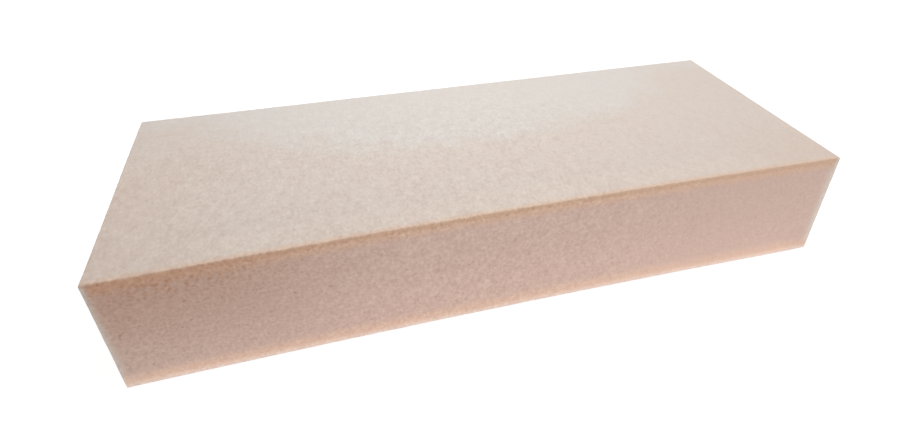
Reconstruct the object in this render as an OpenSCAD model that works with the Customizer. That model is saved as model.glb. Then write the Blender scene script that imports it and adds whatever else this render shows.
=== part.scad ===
// Foam block: one piece of fine-celled foam, sawn from a sheet.
//
// Millimetres. The origin is on the rest face, under the middle of the block.
// X runs along the length, Y from the front face to the back face, and Z up
// through the thickness of the sheet.

/* [Block] */
// Length of the block, from end face to end face
block_l = 300; // [100:5:600]
// Width of the block, from the ends of the front face to the back face
block_w = 115; // [50:1:300]
// Height of the block, which is the thickness of the sheet
block_h = 51; // [20:1:150]

/* [Sawn faces] */
// Depth of the hollow that the saw left in the front face, at mid-length
front_hollow = 2; // [0:0.1:6]
// Rounding along the top and bottom edges
edge_r = 0.9; // [0.3:0.1:3]
// Rounding of the four upright edges, which is kept larger than edge_r
corner_r = 1.5; // [0.4:0.1:8]

/* [Colour] */
// Colour of the foam
foam_colour = "#d9c8b9"; // [#d9c8b9:cream, #cfb3a6:blush, #e8e2d8:off-white]

/* [Hidden] */

// Flat steps along the hollow front face, in each quarter turn of an upright
// edge, and in each quarter turn of a top or bottom edge
hollow_steps = 16;
corner_steps = 4;
edge_steps = 4;

// Radius of the upright edges, and the middle of the back right one
upright_r = max(corner_r, edge_r + 0.1);
corner_x = block_l / 2 - upright_r;
corner_y = block_w / 2 - upright_r;

// Points along the front face, from left to right
function front_points(inset) = [
    for (i = [1:hollow_steps - 1])
        let (u = 2 * i / hollow_steps - 1)
            [u * corner_x, inset - block_w / 2 + front_hollow * (1 - u * u)]
];

// Points round the upright edge at middle, starting in direction a
function corner_points(middle, a, inset) = [
    for (i = [0:corner_steps])
        let (turn = a + 90 * i / corner_steps)
            middle + (upright_r - inset) * [cos(turn), sin(turn)]
];

// The block seen from above and drawn in by inset, anticlockwise from the
// back right edge, from where every other point can be seen
function outline(inset) = concat(
    corner_points([corner_x, corner_y], 0, inset),
    corner_points([-corner_x, corner_y], 90, inset),
    corner_points([-corner_x, -corner_y], 180, inset),
    front_points(inset),
    corner_points([corner_x, -corner_y], -90, inset)
);

// [inset, height] of each outline: round the bottom edge from the rest face,
// then round the top edge to the top face
bottom_levels = [
    for (i = [0:edge_steps])
        let (turn = 90 * i / edge_steps)
            edge_r * [1 - sin(turn), 1 - cos(turn)]
];
top_levels = [
    for (i = [edge_steps:-1:0])
        [bottom_levels[i].x, block_h - bottom_levels[i].y]
];
levels = concat(bottom_levels, top_levels);

// The block's skin: the outlines, one above the other, joined by its sides
// and closed by the rest face and the top face.
module foam_block() {
    n = len(outline(0));
    last = len(levels) - 1;
    points = [
        for (level = levels, p = outline(level.x))
            [p.x, p.y, level.y]
    ];
    rest_face = [for (i = [0:n - 1]) i];
    top_face = [for (i = [n - 1:-1:0]) last * n + i];
    sides = [
        for (j = [0:last - 1], i = [0:n - 1])
            let (next = (i + 1) % n)
                [j * n + next, j * n + i, (j + 1) * n + i, (j + 1) * n + next]
    ];
    color(foam_colour)
        polyhedron(points, concat([rest_face, top_face], sides));
}

foam_block();
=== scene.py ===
"""Looks of a cut block of open-cell foam, lying on a pale studio table.

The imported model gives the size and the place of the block. This file builds the
foam itself as one closed body with a cell structure, and the table, the lamps and
the camera around it.
"""

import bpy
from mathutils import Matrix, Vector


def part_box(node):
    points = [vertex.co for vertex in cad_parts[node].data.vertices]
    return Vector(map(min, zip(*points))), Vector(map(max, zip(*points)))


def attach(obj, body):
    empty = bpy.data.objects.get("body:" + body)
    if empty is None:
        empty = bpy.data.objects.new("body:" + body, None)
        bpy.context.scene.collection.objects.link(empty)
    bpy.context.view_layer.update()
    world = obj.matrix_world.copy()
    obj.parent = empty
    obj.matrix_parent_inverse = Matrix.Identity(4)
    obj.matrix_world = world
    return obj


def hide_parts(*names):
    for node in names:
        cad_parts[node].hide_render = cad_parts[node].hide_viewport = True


bl_info = {
    "name": "Foam block",
    "version": (1, 0, 0),
    "blender": (4, 5, 0),
    "location": "3D View > Sidebar > Foam",
    "description": "Builds a cut foam block and the studio table it lies on",
    "category": "Add Mesh",
}

import math

import bpy
import numpy as np
from bpy.props import FloatProperty, FloatVectorProperty, PointerProperty
from mathutils import Matrix, Vector, noise

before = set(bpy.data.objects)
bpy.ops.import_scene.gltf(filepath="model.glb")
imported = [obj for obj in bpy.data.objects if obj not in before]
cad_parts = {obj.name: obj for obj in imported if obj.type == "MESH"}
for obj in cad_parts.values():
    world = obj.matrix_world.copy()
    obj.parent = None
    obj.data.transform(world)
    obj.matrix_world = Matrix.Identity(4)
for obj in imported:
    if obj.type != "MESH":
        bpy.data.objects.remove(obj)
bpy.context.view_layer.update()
FOAM_NODE = "foam_block"
MM = 0.001
WHITE = (1.0, 1.0, 1.0, 1.0)

# ---------------------------------------------------------------- form of the surface

# Grid lines beside an edge, as shares of its rounding
EDGE_LINES = (0.0, 0.3, 0.6, 1.0, 1.6, 2.4, 3.4)
# Bumps of the cut faces and edges, in turns per metre
LONG_WAVES, SHORT_WAVES = 17.0, 41.0
WIDE_CLUSTERS, NARROW_CLUSTERS = 330.0, 520.0
EDGE_BITES = 260.0
# Strength of the shorter waves and of the narrower clusters, beside the others
SHORT_SHARE, NARROW_SHARE = 0.5, 0.6
# How far the bites reach from an edge, in roundings, and how deep the usual bite is
BITE_REACH, USUAL_BITE = 2.5, 0.4
# How far the middle of the front face reaches to each side, in lengths of the block
MIDDLE_REACH = 0.02
# How late the foot spreads on its way down, and how stiff its two ends are
SPREAD_CURVE, END_STIFFNESS = 4, 12

# ---------------------------------------------------------------- marks on the foam

# Where a mark along the block starts and where it is full, in half lengths
# from the left end
LEFT_END = (0.80, 0.0)
LEFT_HALF = (1.0, 0.0)
LEFT_THIRD = (0.60, 0.07)
RIGHT_END = (0.80, 1.90)

# Where a mark starts and where it is full, in metres from its own edge of the block
TOP_FACE = (-0.8 * MM, 0.9 * MM)
TAN_LINE = (2.8 * MM, 1.3 * MM)
TAN_START = (-0.4 * MM, 1.0 * MM)
WARM_BAND = (6.5 * MM, 2.5 * MM)
SPECK_BAND = (15.0 * MM, 5.0 * MM)
FOOT_GLOW_BAND = (8.8 * MM, 1.6 * MM)
SOLE_GLOW_BAND = (3.6 * MM, 0.2 * MM)
WARM_RIM = (3.4 * MM, 0.4 * MM)
LIT_FRONT = (20.0 * MM, 4.0 * MM)
PAINTED_SHEEN_STRIP = (18.0 * MM, 4.0 * MM)
LINE_STOP = (1.0 * MM, 3.2 * MM)
HIGHLIGHT_INWARD = (0.2 * MM, 1.0 * MM)
SMOOTHER = (0.0, 1.0 * MM)

# How far the cells make a border wander, and how much of that each mark takes
WANDER = 3.0 * MM
RAGGED = {"top": 0.15, "line": 0.8, "foot": 0.6, "upright": 0.4, "rim": 0.5}

# Strength of each mark, where 1 is its full colour
TAN_ON_EDGE, TAN_AT_UPRIGHT = 0.45, 0.1
TAN_LEFT_TO_RIGHT = (0.95, 0.75)
LEFT_SHADE_SHARE, WARM_SHARE, FOOT_GLOW_SHARE, PAINTED_SHEEN_STRIP_SHARE = 0.95, 0.9, 0.9, 0.7

# Painted light and shade: lightness of the sides from the top down to the foot, as painted
# bounce light from the table, of their left end, as painted shade, and of the top beside the
# front edge in red, green and blue, as painted light
SIDE_PAINTED_BOUNCE = (0.951, 1.022)
LEFT_PAINTED_SHADE = 0.88
FRONT_PAINTED_LIGHT = (1.035, 1.02, 1.01)

# Painted highlight where the rounded upright edges catch light: its width from right to left,
# where it is palest, and the curve of its border
UPRIGHT_WIDTHS = (7.0 * MM, 4.5 * MM)
UPRIGHT_PALEST = -0.5 * MM
UPRIGHT_CURVE = 1.7
# Their strength in front and at the back, from where it falls in widths of the block,
# and their strength at the left end and inward from the long faces
HIGHLIGHT_FRONT_TO_BACK, HIGHLIGHT_FALLS_FROM = (0.85, 0.5), 0.4
HIGHLIGHT_LEFT, HIGHLIGHT_INSIDE = 0.95, 0.35

# Specks: the distance between them, their border, and which places have one
SPECK_SPACING = 1.7 * MM
SPECK_BORDER = (0.46, 0.26)
SPECK_CHOICE = (0.40, 0.50)

# Painted sheen, paler and cooler, on the middle of the top: its reach from the middle in half
# lengths of the block and from the back in half widths, and its border in shares of the square
# of that reach
PAINTED_SHEEN_SIDEWAYS, PAINTED_SHEEN_FORWARD = 0.85, 1.1
PAINTED_SHEEN_BORDER = (1.15, 0.60)
# Width of the patches of that border, and how far they move it
SHEEN_PATCH_WIDTH, SHEEN_PATCH_SHARE = 14.0 * MM, 0.9

# Painted warm bounce light on the front corners of the top: where each one starts and where it
# is full, in half lengths along the block and in half widths across it, from its middle
WARM_BOUNCE_CORNERS = (
    {"along": (-0.62, -0.95), "across": (0.62, 0.05)},
    {"along": (0.62, 0.95), "across": (-0.10, -0.85)},
)

# ---------------------------------------------------------------- cells

# How many of each pattern fit in the width of a cell: its grain, clusters, haze,
# pits and pores
GRAINS, CLUSTERS, HAZES, PITS, PORES = 0.78, 0.36, 0.035, 0.32, 0.60
WALL_SMOOTHNESS, CLOUD_ROUGHNESS = 0.3, 0.6
# Usual values of the cells, of a cloud pattern and of the pores
CELL_MEAN, CLOUD_MEAN, PORE_MEAN = 0.45, 0.5, 0.2
# Borders of a pit and of a pore, and which places have a pit
PIT_BORDER, PORE_BORDER = (0.24, 0.08), (0.34, 0.10)
PIT_CHOICE = (0.72, 0.95)
# How much of the fine cells and of the pits is left on the smoother top
FINE_ON_TOP, PITS_ON_TOP = 0.45, 0.4
# How much the cells show at the right end, and in front and at the back, from where
# that falls in widths of the block
CELLS_RIGHT = 0.50
CELLS_FRONT_TO_BACK, CELLS_FALL_FROM = (1.15, 0.55), 0.5
# Contrast and bump of the cells on the sides and on the top
SIDE_CONTRAST, TOP_CONTRAST = 0.87, 1.08
SIDE_BUMP, TOP_BUMP = 0.52, 0.44
BUMP_HEIGHT = 0.2 * MM
# Finish of the cell walls
SPECULAR, SHEEN_ROUGHNESS = 0.25, 0.55

# ---------------------------------------------------------------- studio

# Camera: the point on the top it faces, in lengths and widths of the block from its
# middle; its distance in lengths; its angles in degrees; and the shift of its view
CAMERA_AIM = (-0.0302, -0.2174)
CAMERA_DISTANCE = 0.8237
CAMERA_TURN, CAMERA_TILT, CAMERA_ROLL = 16.164, -33.10, 0.534
CAMERA_SHIFT = (-0.0249, -0.0493)

# Lamps: place, the point each one faces, width, and depth where it is oblong
LAMPS = {
    "back": ((0.0, 0.70, 0.45), (0.0, 0.0, 0.05), 0.60, 0.0),
    "over": ((0.0, 0.06, 0.36), (0.0, 0.05, 0.05), 0.15, 0.0),
    "right": ((0.70, -0.05, 0.30), (0.0, 0.0, 0.03), 0.35, 0.0),
    "corner": ((0.36, -0.40, 0.09), (0.05, -0.05, 0.025), 0.20, 0.0),
    "front": ((0.05, -0.28, 0.085), (0.05, -0.05, 0.025), 0.16, 0.0),
    "left": ((-0.80, 0.10, 0.07), (-0.15, 0.0, 0.03), 0.10, 0.0),
    "foot": ((-0.13, -0.18, 0.015), (-0.10, -0.055, 0.01), 0.10, 0.0),
    "strip": ((-0.005, -0.0725, 0.002), (-0.005, -0.0575, 0.001), 0.30, 0.003),
}

# Table: its reach in diagonals of the block, the scale of its grain, the grey that
# takes the shadow, and its own light near the block and further away, in metres
TABLE_REACH, TABLE_GRAIN = 12, 60.0
SHADOW_GREY = 0.27
TABLE_NEAR, TABLE_FAR = 0.35, 0.90
TABLE_GLOW = (0.875, 1.0)


def frame_hollow():
    """How far the middle of the front face stands back from its two ends."""
    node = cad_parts[FOAM_NODE]
    points = np.array([tuple(node.matrix_world @ v.co) for v in node.data.vertices])
    low, high = points.min(axis=0), points.max(axis=0)
    near = MIDDLE_REACH * (high[0] - low[0])
    middle = np.abs(points[:, 0] - (low[0] + high[0]) / 2) < near
    return float(points[middle, 1].min() - low[1]) if middle.any() else 0.0


# ---------------------------------------------------------------- sizes and colours


class FoamShape(bpy.types.PropertyGroup):
    """Sizes of the cut block."""

    edge_round: FloatProperty(
        name="Edge rounding",
        description="Radius that the soft foam takes along its cut edges",
        default=0.0006, min=0.0002, max=0.005, unit="LENGTH",
    )
    foot_round: FloatProperty(
        name="Foot rounding",
        description="Height of the bottom edges' rounding, pressed flat by the block's weight",
        default=0.0002, min=0.0001, max=0.005, unit="LENGTH",
    )
    foot_spread: FloatProperty(
        name="Foot spread",
        description="How far the foot of the front spreads under the block's weight",
        default=0.0006, min=0.0, max=0.005, unit="LENGTH",
    )
    hollow: FloatProperty(
        name="Front hollow",
        description="How far the middle of the front face stands back from its ends",
        default=frame_hollow(), min=0.0, max=0.01, unit="LENGTH",
    )
    pitch: FloatProperty(
        name="Mesh pitch",
        description="Distance between neighbouring points of the foam surface",
        default=0.00114, min=0.0008, max=0.01, unit="LENGTH",
    )
    saw_wave: FloatProperty(
        name="Saw wave",
        description="Height of the slow waves that the saw leaves in the faces",
        default=0.00012, min=0.0, max=0.002, unit="LENGTH",
    )
    cell_relief: FloatProperty(
        name="Cell relief",
        description="Height of the clusters of open cells on the faces",
        default=0.00005, min=0.0, max=0.001, unit="LENGTH",
    )
    edge_crumble: FloatProperty(
        name="Edge crumble",
        description="Depth of the small bites along the cut edges",
        default=0.00007, min=0.0, max=0.001, unit="LENGTH",
    )


class FoamLook(bpy.types.PropertyGroup):
    """Colours and finish of the foam."""

    top_colour: FloatVectorProperty(
        name="Top", description="Colour of the top and bottom faces",
        default=(0.716, 0.615, 0.543), size=3, min=0.0, max=1.0, subtype="COLOR",
    )
    # painted light: the front corners of the top are warmer, standing in for warm bounce light
    # there
    handled_colour: FloatVectorProperty(
        name="Handled ends", description="Warmer colour of the top near its two ends",
        default=(0.720, 0.592, 0.511), size=3, min=0.0, max=1.0, subtype="COLOR",
    )
    # painted sheen: the paler, cooler middle of the top stands in for the sheen of the lamp
    # behind the block
    bleached_colour: FloatVectorProperty(
        name="Bleached top", description="Paler middle of the top, where light has bleached it",
        default=(0.721, 0.662, 0.613), size=3, min=0.0, max=1.0, subtype="COLOR",
    )
    side_colour: FloatVectorProperty(
        name="Sides", description="Colour of the sawn side faces",
        default=(0.738, 0.530, 0.448), size=3, min=0.0, max=1.0, subtype="COLOR",
    )
    # painted shade: the sides are deeper in colour towards the left end, most under the top
    left_shade_colour: FloatVectorProperty(
        name="Aged end", description="Deeper colour towards the left end of the sides",
        default=(0.645, 0.410, 0.310), size=3, min=0.0, max=1.0, subtype="COLOR",
    )
    # tan line just under the top edges, darker and warmer there
    tan_colour: FloatVectorProperty(
        name="Tan edge", description="Aged line just under the top edges",
        default=(0.682, 0.442, 0.302), size=3, min=0.0, max=1.0, subtype="COLOR",
    )
    deep_colour: FloatVectorProperty(
        name="Deep tan", description="The same line towards the left end, where it is wider",
        default=(0.670, 0.388, 0.262), size=3, min=0.0, max=1.0, subtype="COLOR",
    )
    speck_colour: FloatVectorProperty(
        name="Specks", description="Small brown specks under the tan line, near the left end",
        default=(0.595, 0.318, 0.190), size=3, min=0.0, max=1.0, subtype="COLOR",
    )
    glow_colour: FloatVectorProperty(
        name="Warm band", description="Warm band between the tan line and the rest of the side",
        default=(0.760, 0.510, 0.375), size=3, min=0.0, max=1.0, subtype="COLOR",
    )
    rim_colour: FloatVectorProperty(
        name="Warm rim", description="Warm rim of the top, beside its front edge",
        default=(0.763, 0.567, 0.440), size=3, min=0.0, max=1.0, subtype="COLOR",
    )
    # painted light: a glow of light from the table, through the foam and onto the foot of the
    # sides
    foot_glow_colour: FloatVectorProperty(
        name="Peach foot", description="Light band along the bottom of the sides",
        default=(0.900, 0.620, 0.474), size=3, min=0.0, max=1.0, subtype="COLOR",
    )
    # painted light: the palest glow, right at the foot
    sole_glow_colour: FloatVectorProperty(
        name="Pale sole", description="Palest foam, right at the bottom edge of the sides",
        default=(1.000, 0.802, 0.700), size=3, min=0.0, max=1.0, subtype="COLOR",
    )
    # painted highlight: pale bands where the rounded upright edges catch light
    upright_highlight_colour: FloatVectorProperty(
        name="Pale uprights", description="Rubbed foam at the upright edges",
        default=(0.850, 0.772, 0.700), size=3, min=0.0, max=1.0, subtype="COLOR",
    )
    cell_size: FloatProperty(
        name="Cell size", description="Width of one open cell",
        default=0.00105, min=0.0002, max=0.005, unit="LENGTH",
    )
    cell_stretch: FloatProperty(
        name="Cell stretch", description="Length of a cell across the block, over its width",
        default=1.4, min=0.5, max=3.0,
    )
    cell_contrast: FloatProperty(
        name="Cell contrast", description="Difference of tone between a cell and its wall",
        default=0.43, min=0.0, max=1.0, subtype="FACTOR",
    )
    cell_tint: FloatVectorProperty(
        name="Cell tint", description="Share of the cell contrast in red, green and blue",
        default=(0.70, 1.06, 1.12), size=3, min=0.0, max=2.0,
    )
    roughness: FloatProperty(
        name="Roughness", description="Roughness of the cell walls",
        default=0.85, min=0.0, max=1.0, subtype="FACTOR",
    )
    sheen: FloatProperty(
        name="Sheen", description="Soft pale bloom of the foam seen at a low angle",
        default=0.15, min=0.0, max=1.0, subtype="FACTOR",
    )


def lamp_power(name, description, watts):
    """A property that holds the power of one lamp."""
    return FloatProperty(
        name=name, description=description, default=watts, min=0.0, max=50.0, unit="POWER"
    )


class FoamStudio(bpy.types.PropertyGroup):
    """Table, lamps and camera."""

    table_colour: FloatVectorProperty(
        name="Table", description="Colour of the table",
        default=(0.92, 0.92, 0.92), size=3, min=0.0, max=1.0, subtype="COLOR",
    )
    room_light: FloatProperty(
        name="Room light", description="Strength of the even light from all sides",
        default=0.385, min=0.0, max=2.0,
    )
    back_power: lamp_power("Back lamp", "Large lamp behind the block", 1.60)
    over_power: lamp_power("Overhead lamp", "Lamp above the middle of the block", 0.40)
    right_power: lamp_power("Right lamp", "Lamp beyond the right end", 1.62)
    left_power: lamp_power("Left lamp", "Low lamp beyond the left end", 1.20)
    corner_power: lamp_power("Corner lamp", "Low lamp before the right front corner", 0.235)
    front_power: lamp_power("Front lamp", "Low lamp before the front face", 0.062)
    strip_power: lamp_power(
        "Strip lamp", "Thin lamp on the table, along the foot of the front", 0.0034
    )
    foot_power: lamp_power(
        "Foot lamp", "Small lamp on the table, before the left of the foot", 0.022
    )
    lens: FloatProperty(
        name="Lens", description="Focal length of the camera",
        default=23.51, min=10.0, max=200.0, unit="CAMERA",
    )


# ---------------------------------------------------------------- shader wiring


class Wiring:
    """Adds shader nodes to a tree and joins them."""

    def __init__(self, tree):
        self.tree = tree
        tree.nodes.clear()

    def put(self, socket, value):
        """Joins a socket to another one, or writes a plain value into it."""
        if isinstance(value, bpy.types.NodeSocket):
            self.tree.links.new(value, socket)
        else:
            socket.default_value = value

    def node(self, kind, inputs=None, **settings):
        made = self.tree.nodes.new(kind)
        for key, value in settings.items():
            setattr(made, key, value)
        for key, value in (inputs or {}).items():
            self.put(made.inputs[key], value)
        return made

    def math(self, operation, *values):
        inputs = dict(enumerate(values))
        return self.node("ShaderNodeMath", inputs, operation=operation).outputs[0]

    def fade(self, value, start, end, low=0.0, high=1.0):
        """A smooth step from low at start to high at end."""
        keys = {0: value, 1: start, 2: end, 3: low, 4: high}
        return self.node("ShaderNodeMapRange", keys, interpolation_type="SMOOTHSTEP").outputs[0]

    def vary(self, mask, without, full):
        """A value that goes from one number to another as a mask goes from 0 to 1."""
        return self.fade(mask, 0.0, 1.0, without, full)

    def product(self, first, *others):
        """All the values multiplied, in their order."""
        for other in others:
            first = self.math("MULTIPLY", first, other)
        return first

    def blend(self, factor, first, second, kind="MIX"):
        made = self.node("ShaderNodeMix", data_type="RGBA", blend_type=kind)
        self.put(made.inputs[0], factor)
        for key, value in ((6, first), (7, second)):
            plain = not isinstance(value, bpy.types.NodeSocket)
            self.put(made.inputs[key], (*value, 1.0) if plain else value)
        return made.outputs[2]

    def shade(self, colour, tone):
        """A colour made lighter or darker by a plain factor, or by one for each channel."""
        tones = tone if isinstance(tone, list) else [tone] * 3
        tint = self.node("ShaderNodeCombineColor", dict(enumerate(tones))).outputs[0]
        return self.blend(1.0, colour, tint, "MULTIPLY")

    def total(self, *terms):
        """The sum of values, each with its own weight."""
        result = 0.0
        for value, weight in terms:
            result = self.math("MULTIPLY_ADD", value, weight, result)
        return result

    def balanced(self, *terms):
        """The weighted sum of patterns, less what it is at their usual values."""
        usual = sum(weight * mean for _, weight, mean in terms)
        weighted = [(pattern, weight) for pattern, weight, _ in terms]
        return self.total(*weighted, (usual, -1.0))

    def cloud(self, place, scale, detail):
        """A soft random pattern."""
        inputs = {
            "Vector": place,
            "Scale": scale,
            "Detail": detail,
            "Roughness": CLOUD_ROUGHNESS,
        }
        return self.node("ShaderNodeTexNoise", inputs).outputs[0]

    def dots(self, place, scale, border):
        """Round dots at random places, and the random colour that each one has."""
        inputs = {"Vector": place, "Scale": scale, "Randomness": 1.0}
        made = self.node("ShaderNodeTexVoronoi", inputs)
        return self.fade(made.outputs["Distance"], *border), made.outputs["Color"]

    def choice(self, colour, channel, border):
        """Mask of the dots that one channel of their random colour chooses."""
        chance = self.node("ShaderNodeSeparateColor", {0: colour}).outputs[channel]
        return self.fade(chance, *border)


# ---------------------------------------------------------------- foam body


def spaced(low, high, pitch, edge):
    """Grid lines from low to high: close together in the rounded edges, even between."""
    near = [edge * share for share in EDGE_LINES]
    start, end = low + near[-1], high - near[-1]
    count = max(2, round((end - start) / pitch))
    even = np.linspace(start, end, count + 1)
    return np.concatenate([low + np.array(near[:-1]), even, high - np.array(near[-2::-1])])


def shell_grid(lines):
    """Points and quads of the closed skin of a box cut along the three lists of lines."""
    sizes = [len(line) for line in lines]
    number, points, quads = {}, [], []

    def point(i, j, k):
        key = (i, j, k)
        if key not in number:
            number[key] = len(points)
            points.append((lines[0][i], lines[1][j], lines[2][k]))
        return number[key]

    for axis in range(3):
        first, second = (axis + 1) % 3, (axis + 2) % 3
        for side in (0, sizes[axis] - 1):
            for a in range(sizes[first] - 1):
                for b in range(sizes[second] - 1):
                    corners = []
                    for da, db in ((0, 0), (1, 0), (1, 1), (0, 1)):
                        place = [0, 0, 0]
                        place[axis], place[first], place[second] = side, a + da, b + db
                        corners.append(point(*place))
                    quads.append(corners if side else corners[::-1])
    return np.array(points), quads


def round_edges(points, low, high, radius, foot):
    """Rounds the box's edges and corners, with a height of their own at the foot.

    Gives the new points and their outward directions.
    """
    below = np.array([radius, radius, foot])
    inner = np.clip(points, low + below, high - radius)
    out = points - inner
    reach = np.where(out < 0, below, radius)
    out /= reach
    out /= np.linalg.norm(out, axis=1)[:, None]
    moved = inner + out * reach
    out /= reach
    return moved, out / np.linalg.norm(out, axis=1)[:, None]


def edge_nearness(points, low, high, reach):
    """1 on a cut edge of the block, falling to 0 at the given distance from it."""
    gaps = np.sort(np.minimum(points - low, high - points), axis=1)
    return np.clip(1 - gaps[:, 1] / reach, 0, 1)


def foam_relief(points, near, shape):
    """Height of the foam's surface over its cut shape, point by point."""
    height = np.empty(len(points))
    for n, (x, y, z) in enumerate(points):
        place = Vector((x, y, z))
        wave = noise.noise(place * LONG_WAVES)
        wave += SHORT_SHARE * noise.noise(place * SHORT_WAVES)
        clusters = noise.noise(place * WIDE_CLUSTERS)
        clusters += NARROW_SHARE * noise.noise(Vector((y, z, x)) * NARROW_CLUSTERS)
        bites = USUAL_BITE + noise.noise(Vector((z, x, y)) * EDGE_BITES)
        height[n] = shape.saw_wave * wave + shape.cell_relief * clusters
        height[n] -= shape.edge_crumble * near[n] * bites
    return height


def build_foam_mesh(shape):
    """The block's closed skin: rounded, rough, hollow in front and spread at the foot."""
    low, high = (np.array(corner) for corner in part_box(FOAM_NODE))
    lines = [spaced(low[n], high[n], shape.pitch, shape.edge_round) for n in range(3)]
    points, quads = shell_grid(lines)
    near = edge_nearness(points, low, high, BITE_REACH * shape.edge_round)
    points, out = round_edges(points, low, high, shape.edge_round, shape.foot_round)
    half = (high - low) / 2
    across = (points[:, 0] - low[0] - half[0]) / half[0]
    forward = (high[1] - points[:, 1]) / (2 * half[1])
    points = points + out * foam_relief(points, near, shape)[:, None]
    points[:, 1] += shape.hollow * (1 - across**2) * forward
    down = (high[2] - points[:, 2]) / (2 * half[2])
    spread = (1 - ((1 - across) / 2) ** 2) * (1 - across**END_STIFFNESS)
    points[:, 1] -= shape.foot_spread * spread * forward * down**SPREAD_CURVE
    points[:, 2] = np.maximum(points[:, 2], low[2])
    mesh = bpy.data.meshes.new("foam_body")
    mesh.from_pydata(points.tolist(), [], quads)
    mesh.shade_smooth()
    mesh.validate()
    return mesh


# ---------------------------------------------------------------- foam finish


def edge_distances(wires, shape):
    """Distances in metres from a point of the foam to the block's edges and faces."""
    low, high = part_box(FOAM_NODE)
    half_x = (high[0] - low[0]) / 2
    place = wires.node("ShaderNodeTexCoord").outputs["Object"]
    x, y, z = wires.node("ShaderNodeSeparateXYZ", {0: place}).outputs
    from_middle = wires.math("ABSOLUTE", wires.math("SUBTRACT", x, (low[0] + high[0]) / 2))
    from_end = wires.math("SUBTRACT", half_x, from_middle)
    share = wires.math("POWER", wires.math("DIVIDE", from_middle, half_x), 2.0)
    bow = wires.math("MULTIPLY", wires.math("SUBTRACT", 1.0, share), shape.hollow)
    from_front = wires.math("SUBTRACT", wires.math("SUBTRACT", y, low[1]), bow)
    from_back = wires.math("SUBTRACT", high[1], y)
    from_long = wires.math("MINIMUM", from_front, from_back)
    return {
        "place": place,
        "x": x,
        "y": y,
        "from_front": from_front,
        "from_back": from_back,
        "from_long": from_long,
        "inset": wires.math("MINIMUM", from_end, from_long),
        "upright": wires.math("MAXIMUM", from_end, from_long),
        "below_top": wires.math("SUBTRACT", high[2], z),
        "above_foot": wires.math("SUBTRACT", z, low[2]),
        "height": high[2] - low[2],
        "width": high[1] - low[1],
    }


def bleached_part(wires, gap, half_x, half_y):
    """Painted sheen: the middle of the top, with a patchy border, and a strip along the back.
    """
    sideways = wires.math("DIVIDE", gap["x"], PAINTED_SHEEN_SIDEWAYS * half_x)
    forward = wires.math("DIVIDE", gap["from_back"], PAINTED_SHEEN_FORWARD * half_y)
    reach = wires.math(
        "ADD", wires.math("POWER", sideways, 2.0), wires.math("POWER", forward, 2.0)
    )
    patch = wires.cloud(gap["place"], 1 / SHEEN_PATCH_WIDTH, 3.0)
    patch = wires.math("SUBTRACT", patch, CLOUD_MEAN)
    reach = wires.math("MULTIPLY_ADD", patch, SHEEN_PATCH_SHARE, reach)
    strip = wires.fade(gap["from_back"], *PAINTED_SHEEN_STRIP, 0.0, PAINTED_SHEEN_STRIP_SHARE)
    return wires.math("MAXIMUM", wires.fade(reach, *PAINTED_SHEEN_BORDER), strip)


def handled_part(wires, gap, half_x, half_y):
    """The two front corners of the top, painted warmer for warm bounce light."""
    corners = [
        wires.product(
            wires.fade(gap["x"], *(share * half_x for share in corner["along"])),
            wires.fade(gap["y"], *(share * half_y for share in corner["across"])),
        )
        for corner in WARM_BOUNCE_CORNERS
    ]
    return wires.math("MAXIMUM", *corners)


def zone_and_painted_light_masks(wires, gap):
    """Masks of zones along the block, of the painted sheen on the top, and of the painted warm
    light at its front corners.
    """
    low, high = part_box(FOAM_NODE)
    half_x, half_y = (high[0] - low[0]) / 2, (high[1] - low[1]) / 2
    zones = {
        "left_end": LEFT_END,
        "left_half": LEFT_HALF,
        "left_third": LEFT_THIRD,
        "right_end": RIGHT_END,
    }
    parts = {
        name: wires.fade(gap["x"], *(low[0] + share * half_x for share in zone))
        for name, zone in zones.items()
    }
    # painted sheen on the middle and back of the top
    parts["bleached"] = bleached_part(wires, gap, half_x, half_y)
    parts["handled"] = handled_part(wires, gap, half_x, half_y)
    return parts


def cell_pattern(wires, place, level, look):
    """Tone and height of the open cells, and their grain.

    The level is the distance to the nearest top or bottom edge: more than 0 on those
    two faces, and less on the sides.
    """
    per_metre = 1 / look.cell_size
    narrower = (1.0, 1 / look.cell_stretch, 1.0)
    place = wires.node(
        "ShaderNodeVectorMath", {0: place, 1: narrower}, operation="MULTIPLY"
    ).outputs[0]
    walls = {
        "Vector": place,
        "Scale": per_metre,
        "Smoothness": WALL_SMOOTHNESS,
        "Randomness": 1.0,
    }
    cells = wires.node("ShaderNodeTexVoronoi", walls, feature="SMOOTH_F1").outputs["Distance"]
    grain = wires.cloud(place, GRAINS * per_metre, 1.0)
    cluster = wires.cloud(place, CLUSTERS * per_metre, 1.0)
    haze = wires.cloud(place, HAZES * per_metre, 2.0)
    pit, chance = wires.dots(place, PITS * per_metre, PIT_BORDER)
    pit = wires.product(
        pit,
        wires.choice(chance, "Red", PIT_CHOICE),
        wires.fade(level, *SMOOTHER, 1.0, PITS_ON_TOP),
    )
    pore = wires.dots(place, PORES * per_metre, PORE_BORDER)[0]
    left = wires.fade(level, *SMOOTHER, 1.0, FINE_ON_TOP)

    fine = wires.balanced(
        (cells, 0.33, CELL_MEAN), (grain, 1.1, CLOUD_MEAN), (pore, -0.18, PORE_MEAN)
    )
    coarse = wires.balanced(
        (cluster, 0.5, CLOUD_MEAN), (haze, 0.08, CLOUD_MEAN), (pit, -0.5, 0.0)
    )
    bumps = wires.total((cells, 0.5), (grain, 1.2), (pore, -0.3))
    tone = wires.math("ADD", wires.product(fine, left), coarse)
    height = wires.total((wires.product(bumps, left), 1.0), (cluster, 1.1), (pit, -0.6))
    return tone, height, grain


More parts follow.
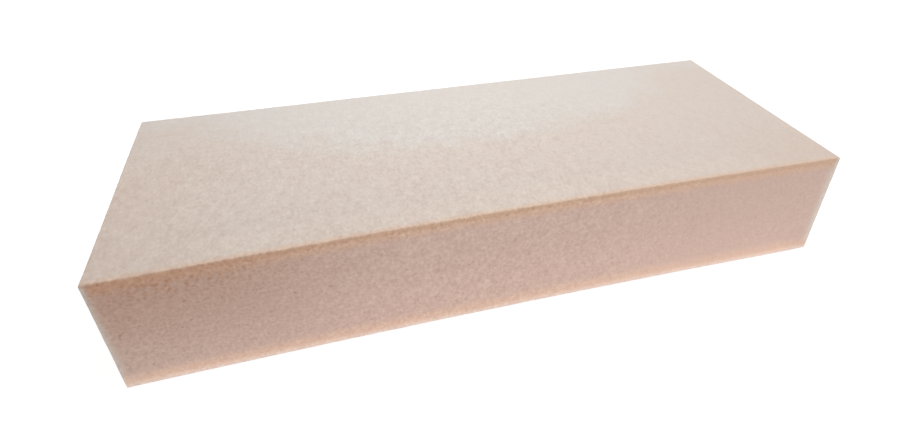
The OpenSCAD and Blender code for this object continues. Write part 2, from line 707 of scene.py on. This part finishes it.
def uprights(wires, gap, parts, beside):
    """Mask of the painted highlight along the upright edges, where their rounding catches
    light.
    """
    reach = wires.vary(parts["left_end"], *UPRIGHT_WIDTHS)
    band = wires.math("POWER", wires.fade(beside, reach, UPRIGHT_PALEST), UPRIGHT_CURVE)
    start = HIGHLIGHT_FALLS_FROM * gap["width"]
    return wires.product(
        band,
        wires.fade(gap["from_front"], start, gap["width"], *HIGHLIGHT_FRONT_TO_BACK),
        wires.vary(parts["left_end"], 1.0, HIGHLIGHT_LEFT),
        wires.fade(gap["from_long"], *HIGHLIGHT_INWARD, 1.0, HIGHLIGHT_INSIDE),
    )


def paint_sides(wires, gap, parts, ragged, look):
    """Colour of the sides, from the tan line under the top down to the painted glow at the
    foot.
    """
    left_half, left_third = parts["left_half"], parts["left_third"]
    drop = wires.total((gap["below_top"], 1.0), (ragged, RAGGED["line"]))
    rise = wires.total((gap["above_foot"], 1.0), (ragged, RAGGED["foot"]))
    beside = wires.total((gap["upright"], 1.0), (ragged, RAGGED["upright"]))
    between = wires.fade(beside, *LINE_STOP)

    # painted shade: deeper colour towards the left end of the sides, most under the top
    left_shade = wires.product(
        parts["left_end"], wires.fade(gap["below_top"], gap["height"], 0.0), LEFT_SHADE_SHARE
    )
    side = wires.blend(left_shade, look.side_colour, look.left_shade_colour)
    # painted highlight along the upright edges
    side = wires.blend(uprights(wires, gap, parts, beside), side, look.upright_highlight_colour)
    # painted bounce light: the sides grow lighter from the top down to the foot
    side = wires.shade(side, wires.fade(gap["below_top"], 0.0, gap["height"], *SIDE_PAINTED_BOUNCE))

    warm = wires.blend(left_third, look.glow_colour, look.deep_colour)
    side = wires.blend(
        wires.product(wires.fade(drop, *WARM_BAND), between, WARM_SHARE), side, warm
    )
    specks, chance = wires.dots(gap["place"], 1 / SPECK_SPACING, SPECK_BORDER)
    specks = wires.product(
        specks,
        wires.choice(chance, "Green", SPECK_CHOICE),
        wires.fade(gap["below_top"], *SPECK_BAND),
        left_third,
    )
    side = wires.blend(specks, side, look.speck_colour)

    tan = wires.product(
        wires.fade(drop, *TAN_LINE),
        wires.fade(drop, *TAN_START, TAN_ON_EDGE, 1.0),
        wires.vary(parts["right_end"], *TAN_LEFT_TO_RIGHT),
        wires.vary(between, TAN_AT_UPRIGHT, 1.0),
    )
    line = wires.blend(left_half, look.tan_colour, look.deep_colour)
    # painted shade: the sides are darker towards the left end
    side = wires.shade(wires.blend(tan, side, line), wires.vary(left_half, 1.0, LEFT_PAINTED_SHADE))

    # painted light: the glow of the table's light at the foot of the sides
    foot_glow = wires.product(wires.fade(rise, *FOOT_GLOW_BAND), FOOT_GLOW_SHARE)
    side = wires.blend(foot_glow, side, look.foot_glow_colour)
    return wires.blend(wires.fade(rise, *SOLE_GLOW_BAND), side, look.sole_glow_colour)


def paint_top(wires, gap, parts, ragged, look):
    """Colour of the top, with its painted sheen in the middle, painted warm light at its front
    corners, and its warm rim.
    """
    # painted sheen: the middle of the top and a strip along its back are paler and cooler
    top = wires.blend(parts["bleached"], look.top_colour, look.bleached_colour)
    # painted light: the top is lighter beside its front edge
    near = wires.fade(gap["from_front"], *LIT_FRONT)
    top = wires.shade(top, [wires.vary(near, 1.0, gain) for gain in FRONT_PAINTED_LIGHT])
    # painted light: warmer front corners of the top, for warm bounce light
    top = wires.blend(parts["handled"], top, look.handled_colour)
    rim = wires.total((gap["from_front"], 1.0), (ragged, RAGGED["rim"]))
    return wires.blend(wires.fade(rim, *WARM_RIM), top, look.rim_colour)


def foam_material(look, shape):
    """Open-cell foam with the marks of the saw, its tan marks, and painted light and shade."""
    material = bpy.data.materials.new("open_cell_foam")
    material.use_nodes = True
    wires = Wiring(material.node_tree)
    gap = edge_distances(wires, shape)
    parts = zone_and_painted_light_masks(wires, gap)
    depth = wires.math("MINIMUM", gap["below_top"], gap["above_foot"])
    level = wires.math("SUBTRACT", gap["inset"], depth)
    tone, height, grain = cell_pattern(wires, gap["place"], level, look)

    # the borders of all marks are as ragged as the cells
    ragged = wires.product(wires.math("SUBTRACT", grain, CLOUD_MEAN), WANDER)
    on_top = wires.fade(wires.total((level, 1.0), (ragged, RAGGED["top"])), *TOP_FACE)
    sides = paint_sides(wires, gap, parts, ragged, look)
    colour = wires.blend(on_top, sides, paint_top(wires, gap, parts, ragged, look))

    # the cells show less towards the back, and where the right end is worn closed
    start = CELLS_FALL_FROM * gap["width"]
    shown = wires.product(
        wires.vary(parts["right_end"], 1.0, CELLS_RIGHT),
        wires.fade(gap["from_front"], start, gap["width"], *CELLS_FRONT_TO_BACK),
    )
    contrasts = [share * look.cell_contrast for share in (SIDE_CONTRAST, TOP_CONTRAST)]
    tone = wires.product(tone, wires.product(wires.vary(on_top, *contrasts), shown))
    tones = [wires.math("MULTIPLY_ADD", tone, share, 1.0) for share in look.cell_tint]
    strength = wires.product(wires.vary(on_top, SIDE_BUMP, TOP_BUMP), shown)
    bump = wires.node(
        "ShaderNodeBump", {"Strength": strength, "Distance": BUMP_HEIGHT, "Height": height}
    )

    foam = wires.node(
        "ShaderNodeBsdfPrincipled",
        {
            "Base Color": wires.shade(colour, tones),
            "Normal": bump.outputs[0],
            "Roughness": look.roughness,
            "Specular IOR Level": SPECULAR,
            "Sheen Weight": look.sheen,
            "Sheen Roughness": SHEEN_ROUGHNESS,
            "Sheen Tint": WHITE,
        },
    )
    out = wires.node("ShaderNodeOutputMaterial")
    wires.put(out.inputs["Surface"], foam.outputs[0])
    return material


# ---------------------------------------------------------------- studio


def seen_directly(wires):
    """1 for rays from the camera, and for mirrored and passed-on ones."""
    path = wires.node("ShaderNodeLightPath").outputs
    seen = wires.math("MAXIMUM", path["Is Camera Ray"], path["Is Glossy Ray"])
    return wires.math("MAXIMUM", seen, path["Is Transmission Ray"])


def table_material(studio):
    """A pale table that takes the block's shadow and looks white around it."""
    material = bpy.data.materials.new("pale_table")
    material.use_nodes = True
    wires = Wiring(material.node_tree)
    colour = (*studio.table_colour, 1.0)
    grain = wires.node("ShaderNodeTexNoise", {"Scale": TABLE_GRAIN, "Detail": 3.0}).outputs[0]
    lit = wires.node("ShaderNodeBsdfDiffuse", {"Color": colour, "Roughness": grain})
    thin = wires.node("ShaderNodeBsdfDiffuse", {"Color": (*[SHADOW_GREY] * 3, 1.0)})
    place = wires.node("ShaderNodeTexCoord").outputs["Object"]
    away = wires.node("ShaderNodeVectorMath", {0: place}, operation="LENGTH").outputs["Value"]
    strength = wires.fade(away, TABLE_NEAR, TABLE_FAR, *TABLE_GLOW)
    glow = wires.node("ShaderNodeEmission", {"Color": WHITE, "Strength": strength})
    bright = wires.node("ShaderNodeAddShader", {0: thin.outputs[0], 1: glow.outputs[0]})
    mixed = wires.node(
        "ShaderNodeMixShader",
        {0: seen_directly(wires), 1: lit.outputs[0], 2: bright.outputs[0]},
    )
    out = wires.node("ShaderNodeOutputMaterial")
    wires.put(out.inputs["Surface"], mixed.outputs[0])
    return material


def build_room(studio):
    """Even white light from all sides."""
    world = bpy.data.worlds.new("studio_room")
    world.use_nodes = True
    wires = Wiring(world.node_tree)
    strength = wires.vary(seen_directly(wires), studio.room_light, 1.0)
    light = wires.node("ShaderNodeBackground", {"Color": WHITE, "Strength": strength})
    out = wires.node("ShaderNodeOutputWorld")
    wires.put(out.inputs["Surface"], light.outputs[0])
    bpy.context.scene.world = world


def build_lamp(name, power, place, aim, width, depth):
    """A round lamp, or an oblong one where it has a depth."""
    lamp = bpy.data.lights.new(name, "AREA")
    lamp.shape = "RECTANGLE" if depth else "DISK"
    lamp.size = width
    if depth:
        lamp.size_y = depth
    lamp.energy = power
    thing = bpy.data.objects.new(name, lamp)
    thing.location = place
    thing.rotation_mode = "QUATERNION"
    thing.rotation_quaternion = (Vector(aim) - Vector(place)).to_track_quat("-Z", "Y")
    thing.visible_camera = False
    bpy.context.scene.collection.objects.link(thing)


def build_table(studio):
    """A square table, far wider than the block, at the height of its foot."""
    low, high = (Vector(corner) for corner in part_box(FOAM_NODE))
    middle = (low + high) / 2
    reach = TABLE_REACH * (high - low).length
    corners = [(-1, -1), (1, -1), (1, 1), (-1, 1)]
    mesh = bpy.data.meshes.new("table")
    points = [(middle.x + a * reach, middle.y + b * reach, low.z) for a, b in corners]
    mesh.from_pydata(points, [], [(0, 1, 2, 3)])
    mesh.materials.append(table_material(studio))
    table = bpy.data.objects.new("table", mesh)
    bpy.context.scene.collection.objects.link(table)


def build_camera(studio):
    """The camera stands in front of the block, a little to its left, and looks down."""
    low, high = (Vector(corner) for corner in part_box(FOAM_NODE))
    size = high - low
    aim = Vector((CAMERA_AIM[0] * size.x, CAMERA_AIM[1] * size.y, high.z))
    turn, tilt, roll = (
        math.radians(angle) for angle in (CAMERA_TURN, CAMERA_TILT, CAMERA_ROLL)
    )
    level = math.cos(tilt)
    ahead = Vector((math.sin(turn) * level, math.cos(turn) * level, math.sin(tilt)))
    camera = bpy.data.cameras.new("camera")
    camera.lens = studio.lens
    camera.sensor_width = 36.0
    camera.shift_x, camera.shift_y = CAMERA_SHIFT
    camera.clip_start, camera.clip_end = 0.01, 50.0
    thing = bpy.data.objects.new("camera", camera)
    stand = ahead.to_track_quat("-Z", "Y").to_matrix() @ Matrix.Rotation(roll, 3, "Z")
    place = aim - CAMERA_DISTANCE * size.x * ahead
    thing.matrix_world = Matrix.Translation(place) @ stand.to_4x4()
    bpy.context.scene.collection.objects.link(thing)
    bpy.context.scene.camera = thing


# ---------------------------------------------------------------- operators and panel


class FOAM_OT_build_body(bpy.types.Operator):
    """Builds the foam block in place of the plain solid"""

    bl_idname = "foam.build_body"
    bl_label = "Build foam block"
    bl_options = {"REGISTER", "UNDO"}

    def execute(self, context):
        shape, look = context.scene.foam_shape, context.scene.foam_look
        mesh = build_foam_mesh(shape)
        if not mesh.polygons:
            raise RuntimeError("the foam block has no faces")
        mesh.materials.append(foam_material(look, shape))
        body = bpy.data.objects.new("foam_body", mesh)
        context.scene.collection.objects.link(body)
        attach(body, "root")
        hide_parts(FOAM_NODE)
        return {"FINISHED"}


class FOAM_OT_build_stage(bpy.types.Operator):
    """Builds the table, the lamps, the room light and the camera"""

    bl_idname = "foam.build_stage"
    bl_label = "Build studio"
    bl_options = {"REGISTER", "UNDO"}

    def execute(self, context):
        studio = context.scene.foam_studio
        build_camera(studio)
        build_table(studio)
        build_room(studio)
        for name, form in LAMPS.items():
            build_lamp(f"{name}_lamp", getattr(studio, f"{name}_power"), *form)
        context.scene.view_settings.view_transform = "Standard"
        return {"FINISHED"}


class FOAM_PT_panel(bpy.types.Panel):
    """Sizes, colours and building steps of the foam block"""

    bl_idname = "FOAM_PT_panel"
    bl_label = "Foam block"
    bl_space_type = "VIEW_3D"
    bl_region_type = "UI"
    bl_category = "Foam"

    def draw(self, context):
        scene = context.scene
        for group, step in (
            (scene.foam_shape, None),
            (scene.foam_look, FOAM_OT_build_body),
            (scene.foam_studio, FOAM_OT_build_stage),
        ):
            column = self.layout.column(align=True)
            for key in group.__annotations__:
                column.prop(group, key)
            if step:
                self.layout.operator(step.bl_idname)


CLASSES = (
    FoamShape,
    FoamLook,
    FoamStudio,
    FOAM_OT_build_body,
    FOAM_OT_build_stage,
    FOAM_PT_panel,
)


def register():
    for item in CLASSES:
        bpy.utils.register_class(item)
    bpy.types.Scene.foam_shape = PointerProperty(type=FoamShape)
    bpy.types.Scene.foam_look = PointerProperty(type=FoamLook)
    bpy.types.Scene.foam_studio = PointerProperty(type=FoamStudio)


def unregister():
    del bpy.types.Scene.foam_studio, bpy.types.Scene.foam_look, bpy.types.Scene.foam_shape
    for item in reversed(CLASSES):
        bpy.utils.unregister_class(item)


def main():
    register()
    bpy.ops.foam.build_stage()
    bpy.ops.foam.build_body()


if __name__ == "__main__":
    main()
